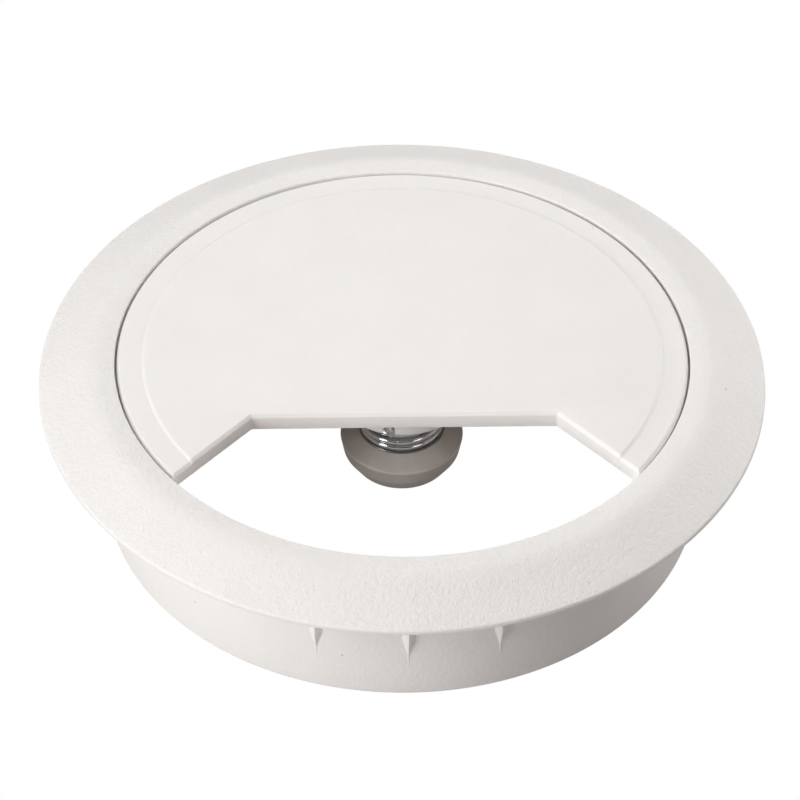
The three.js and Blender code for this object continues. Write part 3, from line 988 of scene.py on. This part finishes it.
def make_thrust_washer(material):
    low_z = low("thrust_washer")
    outline = rounded(
        (
            (WASHER_BORE_R, low_z, 0.05),
            (WASHER_R, low_z, 0.1),
            (WASHER_R, WASHER_TOP_Z, 0.1),
            (WASHER_BORE_R, WASHER_TOP_Z, 0.05),
        )
    )
    washer = as_object("thrust_washer_disc", revolve(outline, even_angles(MEDIUM_COLUMNS)))
    return finish_piece(washer, "spring_seat", "thrust_washer", material)


def make_knob(material):
    socket_r = POST_R + FIT_GAP
    hole_r = SCREW_R + FIT_GAP
    floor_z = POST_BOTTOM_Z - 0.05
    washer_z = low("thrust_washer") - CONTACT_GAP
    outline = rounded(
        (
            (socket_r, washer_z, 0.1),
            (socket_r, floor_z, 0.1),
            (hole_r, floor_z, 0),
            (hole_r, RECESS_TOP_Z, 0),
            (RECESS_R, RECESS_TOP_Z, 0.15),
            (RECESS_R, KNOB_BOTTOM_Z, 0.2),
            (KNOB_FOOT_R, KNOB_BOTTOM_Z, 0.4),
            (KNOB_RIM_R - KNOB_SIDE_INSET, KNOB_RIM_Z - KNOB_SIDE_DROP, 0.8),
            (KNOB_RIM_R, KNOB_RIM_Z, 0.28),
            (KNOB_TOP_R, KNOB_TOP_Z, 0.1),
            (WASHER_RECESS_R, KNOB_TOP_Z, 0.05),
            (WASHER_RECESS_R, washer_z, 0.05),
        ),
        8,
    )
    knob = as_object("knob_body", revolve(outline, even_angles(KNOB_COLUMNS)))
    return finish_piece(knob, "cover", "knob", material, 35)


def make_screw_washer(material):
    low_z, high_z = low("screw_washer"), top("screw_washer")
    outline = rounded(
        (
            (SCREW_R + FIT_GAP, low_z, 0.05),
            (SCREW_WASHER_R, low_z, 0.12),
            (SCREW_WASHER_R, high_z, 0.12),
            (SCREW_R + FIT_GAP, high_z, 0.05),
        )
    )
    washer = as_object("screw_washer_disc", revolve(outline, even_angles(SMALL_COLUMNS)))
    return finish_piece(washer, "cover", "screw_washer", material)


def make_screw(material):
    face_z, tip_z = low("knob_screw"), top("knob_screw")
    seat_z = low("screw_washer") - CONTACT_GAP
    outline = rounded(
        (
            (0, face_z, 0),
            (SCREW_HEAD_R, face_z, 0.7),
            (SCREW_HEAD_R, seat_z, 0.1),
            (SCREW_R, seat_z, 0.08),
            (SCREW_R, tip_z - SCREW_TIP_LENGTH, 0.2),
            (SCREW_TIP_R, tip_z, 0.08),
            (0, tip_z, 0),
        )
    )
    screw = as_object("knob_screw_body", revolve(outline, even_angles(SMALL_COLUMNS)))
    for angle in (0, pi / 2):
        slot = box(
            (-SLOT_HALF_LENGTH, SLOT_HALF_LENGTH),
            (-SLOT_HALF_WIDTH, SLOT_HALF_WIDTH),
            (face_z - CUT_OVERSHOOT, face_z + SLOT_DEPTH),
            0.06,
        )
        combine(screw, spin(slot, angle), "DIFFERENCE")
    return finish_piece(screw, "cover", "knob_screw", material)


# ---- stage ----

FLOOR_TONE = 0.2
FLOOR_TINT = (1, 0.94, 0.925)
FLOOR_DROP = 0.02  # keeps the floor off the sleeve's foot
FLOOR_GLOW = 0.125
FLOOR_GLOW_LEFT = 0.1
GLOW_REACH = 0.06  # metres either side of the pivot over which the extra glow grows
WORLD_STRENGTH = 0.04
WORLD_TINT = (1.0, 0.99, 0.975, 1)
PLAIN_LIGHT = (1, 1, 1)
WARM_LIGHT = (1, 0.93, 0.91)
LIGHTS = (
    # name, place in metres, side in metres, watts, colour
    ("key_low", (-1.36, -0.76, 0.34), 0.7, 10.5, PLAIN_LIGHT),
    ("key", (-1.2, -0.67, 0.8), 0.7, 13.2, PLAIN_LIGHT),
    ("top_back", (0, 0.55, 0.55), 0.5, 2.45, PLAIN_LIGHT),
    ("top_front", (0, -0.3, 0.75), 0.35, 0.85, PLAIN_LIGHT),
    ("right_back", (0.6, 0.45, 0.15), 0.3, 2.2, PLAIN_LIGHT),
    ("right_top", (0.5, 0.1, 0.6), 0.4, 0.9, PLAIN_LIGHT),
    ("right_front", (0.45, -0.6, 0.3), 0.3, 0.95, WARM_LIGHT),
)
LIGHT_TARGET = (0, 0, 0.01)


def floor_glow(n):
    """Light the floor sends back to the object: a plain level that is brighter to the left."""
    place = n.add("SeparateXYZ")
    n.link(n.add("NewGeometry").outputs["Position"], place.inputs[0])
    level = n.add("MapRange", clamp=True)
    level.inputs["From Min"].default_value = GLOW_REACH
    level.inputs["From Max"].default_value = -GLOW_REACH
    level.inputs["To Min"].default_value = FLOOR_GLOW
    level.inputs["To Max"].default_value = FLOOR_GLOW + FLOOR_GLOW_LEFT
    n.link(place.outputs["X"], level.inputs["Value"])
    return level.outputs["Result"]


def make_floor():
    """A plain white floor. The camera sees pure white; the object is lit by a soft bounce."""
    mesh = bmesh.new()
    bmesh.ops.create_grid(mesh, x_segments=1, y_segments=1, size=4000)
    floor = as_object("floor", mesh)
    floor.location.z = CAD_BOX[0][2] - FLOOR_DROP * MM
    n = Nodes("floor_white")
    n.shader.inputs["Base Color"].default_value = (FLOOR_TONE, FLOOR_TONE, FLOOR_TONE, 1)
    n.shader.inputs["Roughness"].default_value = 0.9
    n.shader.inputs["Emission Color"].default_value = (*FLOOR_TINT, 1)
    n.link(floor_glow(n), n.shader.inputs["Emission Strength"])
    white = n.add("Emission", Color=(1, 1, 1, 1), Strength=1.0)
    path = n.add("LightPath")
    mix = n.add("MixShader")
    output = n.tree.nodes["Material Output"]
    n.link(path.outputs["Is Camera Ray"], mix.inputs[0])
    n.link(n.shader.outputs[0], mix.inputs[1])
    n.link(white.outputs[0], mix.inputs[2])
    n.link(mix.outputs[0], output.inputs["Surface"])
    floor.data.materials.append(n.material)


def make_light(name, place, size, watts, colour):
    """A square soft box that faces the grommet."""
    data = bpy.data.lights.new(name, "AREA")
    data.size = size
    data.energy = watts
    data.color = colour
    lamp = bpy.data.objects.new(name, data)
    lamp.location = place
    towards = Vector(LIGHT_TARGET) - Vector(place)
    lamp.rotation_euler = towards.to_track_quat("-Z", "Y").to_euler()
    bpy.context.scene.collection.objects.link(lamp)


def make_world():
    """White behind the floor's edge, and a faint fill on the object."""
    world = bpy.data.worlds.new("studio")
    world.use_nodes = True
    tree = world.node_tree
    fill = tree.nodes["Background"]
    fill.inputs["Color"].default_value = WORLD_TINT
    fill.inputs["Strength"].default_value = WORLD_STRENGTH
    white = tree.nodes.new("ShaderNodeBackground")
    path = tree.nodes.new("ShaderNodeLightPath")
    mix = tree.nodes.new("ShaderNodeMixShader")
    tree.links.new(path.outputs["Is Camera Ray"], mix.inputs[0])
    tree.links.new(fill.outputs[0], mix.inputs[1])
    tree.links.new(white.outputs[0], mix.inputs[2])
    tree.links.new(mix.outputs[0], tree.nodes["World Output"].inputs["Surface"])
    bpy.context.scene.world = world
    bpy.context.scene.view_settings.view_transform = "Standard"


CAMERA_ELEVATION = radians(42.39)
CAMERA_ROLL = radians(0.48)
CAMERA_ORBIT = radians(-1.6)
CAMERA_BACK = (-0.26, -390.324, 348.142)  # from the centre of the flange's top plane
CAMERA_LENS = 180.4
CAMERA_SENSOR = 36


def make_camera():
    data = bpy.data.cameras.new("camera")
    data.lens = CAMERA_LENS
    data.sensor_width = CAMERA_SENSOR
    data.clip_start = 0.01
    camera = bpy.data.objects.new("camera", data)
    right = Vector((1, 0, 0))
    up = Vector((0, sin(CAMERA_ELEVATION), cos(CAMERA_ELEVATION)))
    across = cos(CAMERA_ROLL) * right + sin(CAMERA_ROLL) * up
    upright = cos(CAMERA_ROLL) * up - sin(CAMERA_ROLL) * right
    back = across.cross(upright)
    place = (Vector(CAMERA_BACK) + Vector((0, 0, BORDER_Z))) * MM
    turn = Matrix((across, upright, back)).transposed().to_4x4()
    camera.matrix_world = Matrix.Rotation(CAMERA_ORBIT, 4, "Z") @ Matrix.Translation(place) @ turn
    bpy.context.scene.collection.objects.link(camera)
    bpy.context.scene.camera = camera


# ---- the scene ----

textured_white = white_plastic("white_plastic_flange", FLANGE_GRAIN, FLANGE_SIDE_GRAIN)
smooth_white = white_plastic("white_plastic_cover", COVER_GRAIN, COVER_SIDE_GRAIN)
zinc = zinc_steel()

make_liner(textured_white)
make_crossbar(smooth_white)
make_cover(smooth_white)
make_spring(chromed_wire())
make_thrust_washer(zinc)
make_knob(grey_plastic())
make_screw_washer(zinc)
make_screw(zinc)

make_floor()
make_world()
for light in LIGHTS:
    make_light(*light)
make_camera()
